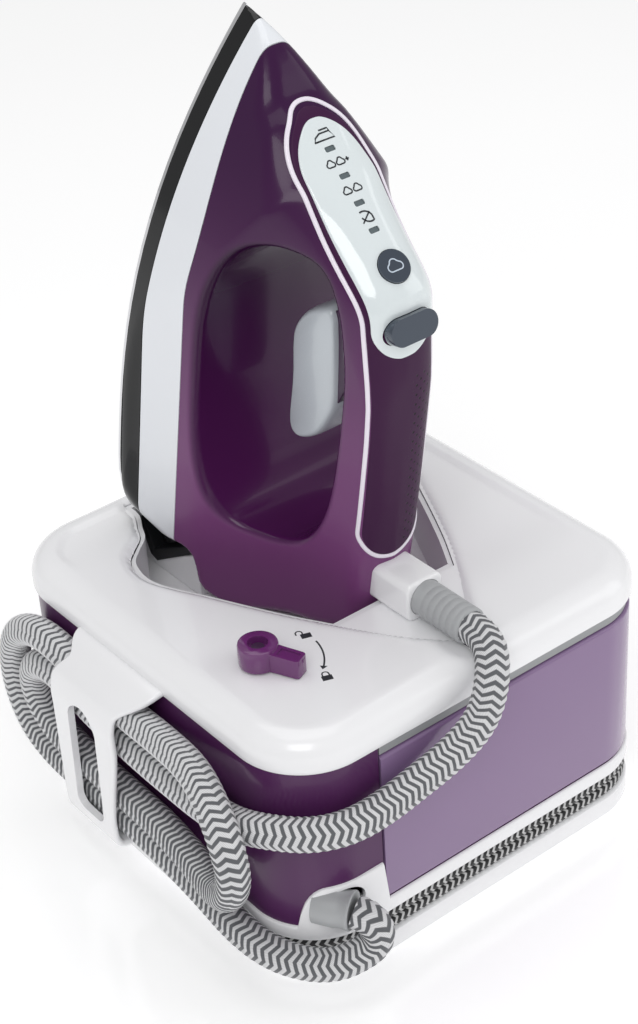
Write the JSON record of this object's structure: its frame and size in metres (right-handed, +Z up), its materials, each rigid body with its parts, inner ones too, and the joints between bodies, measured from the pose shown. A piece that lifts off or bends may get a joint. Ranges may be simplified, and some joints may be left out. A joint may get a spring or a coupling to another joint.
{
  "type": "steam generator iron",
  "caption": "Compact steam station with a lift-off iron docked upright on its lid, a sliding water tank, a lock lever and a braided steam hose looped through a side hook.",
  "frame": {"origin": "centre of the object's footprint, at the bottom of the feet, with the cords, the plug and the hose's sleeve left out", "axes": "+Z up, -Y the tank's long face and the iron's handle side, -X the hose hook's side"},
  "size_m": [0.2497, 0.295, 0.3968],
  "materials": {
    "white_plastic": "gloss",
    "purple_gloss": "gloss",
    "grip_purple": "satin",
    "violet_clear": "frosted",
    "grey_plastic": "satin",
    "black_plastic": "gloss",
    "black_rubber": "matte",
    "steel": "brushed",
    "brass": "satin",
    "circuit_board": "satin",
    "silicone_tube": "satin",
    "lead_braid": "braided",
    "hose_braid": "braided",
    "polished_sole": "polished",
    "cast_aluminium": "cast",
    "panel_white": "gloss",
    "dark_metallic": "gloss",
    "trigger_grey": "satin",
    "lever_purple": "translucent gloss"
  },
  "bodies": {
    "station": {"rubber_feet": "black_rubber", "base_tray": "white_plastic", "housing": "purple_gloss", "top_cover": "white_plastic", "dock_well": "grey_plastic", "heat_cradle": "black_plastic", "tank_inlet": "grey_plastic", "hose_hook": "white_plastic", "hose_gland": "grey_plastic", "boiler": "steel", "boiler_heater": "steel", "safety_valve": "brass", "boiler_thermostat": "white_plastic", "pump": "brass", "pump_mounts": "black_rubber", "solenoid_valve": "black_plastic", "control_board": "circuit_board", "water_tube": "silicone_tube", "feed_tube": "silicone_tube", "steam_pipe": "silicone_tube", "tray_screws": "steel", "cover_screws": "steel", "mains_gland": "black_rubber", "mains_cord_coil": "lead_braid", "mains_cord_tail": "lead_braid", "mains_plug": "black_rubber", "steam_hose": "hose_braid"},
    "iron": {"soleplate": "polished_sole", "steam_chamber": "cast_aluminium", "sole_heater": "steel", "thermal_fuse": "white_plastic", "sole_skirt": "black_plastic", "white_skirt": "white_plastic", "heel_rest": "black_plastic", "iron_body": "purple_gloss", "trim_ring": "white_plastic", "handle_grip": "grip_purple", "handle_panel": "panel_white", "led_lenses": "dark_metallic", "iron_board": "circuit_board", "trigger_pin": "steel", "trigger_spring": "steel", "trigger_switch": "black_plastic", "iron_tube": "silicone_tube", "hose_connector": "white_plastic", "hose_sleeve": "grey_plastic"},
    "lever": {"lock_lever": "lever_purple", "lock_cam": "white_plastic"},
    "tank": {"water_tank": "violet_clear", "tank_valve": "white_plastic"},
    "trigger_lever": {"trigger": "trigger_grey"},
    "power_key": {"power_button": "dark_metallic"},
    "mode_key": {"mode_button": "dark_metallic"}
  },
  "joints": [
    {"name": "iron_lift", "type": "slide", "parent": "station", "child": "iron", "axis": [0, 0, 1], "range_m": [0, 0.08]},
    {"name": "lever_turn", "type": "hinge", "parent": "station", "child": "lever", "pos_m": [-0.0655, -0.048, 0.134], "axis": [0, 0, 1], "range_deg": [0, 62]},
    {"name": "tank_slide", "type": "slide", "parent": "station", "child": "tank", "axis": [1, 0, 0], "range_m": [0, 0.13]},
    {"name": "trigger_press", "type": "hinge", "parent": "iron", "child": "trigger_lever", "pos_m": [0.0135, -0.0466, 0.27086], "axis": [-1, 0, 0], "range_deg": [0, 4], "stiffness_Nm_per_rad": 1.5, "springref_deg": -5.73},
    {"name": "power_press", "type": "slide", "parent": "iron", "child": "power_key", "axis": [0, 0.7206, -0.6934], "range_m": [0, 0.0012], "stiffness_N_per_m": 400, "springref_m": -0.0006},
    {"name": "mode_press", "type": "slide", "parent": "iron", "child": "mode_key", "axis": [0, 0.9781, -0.2079], "range_m": [0, 0.0012], "stiffness_N_per_m": 400, "springref_m": -0.0006}
  ]
}
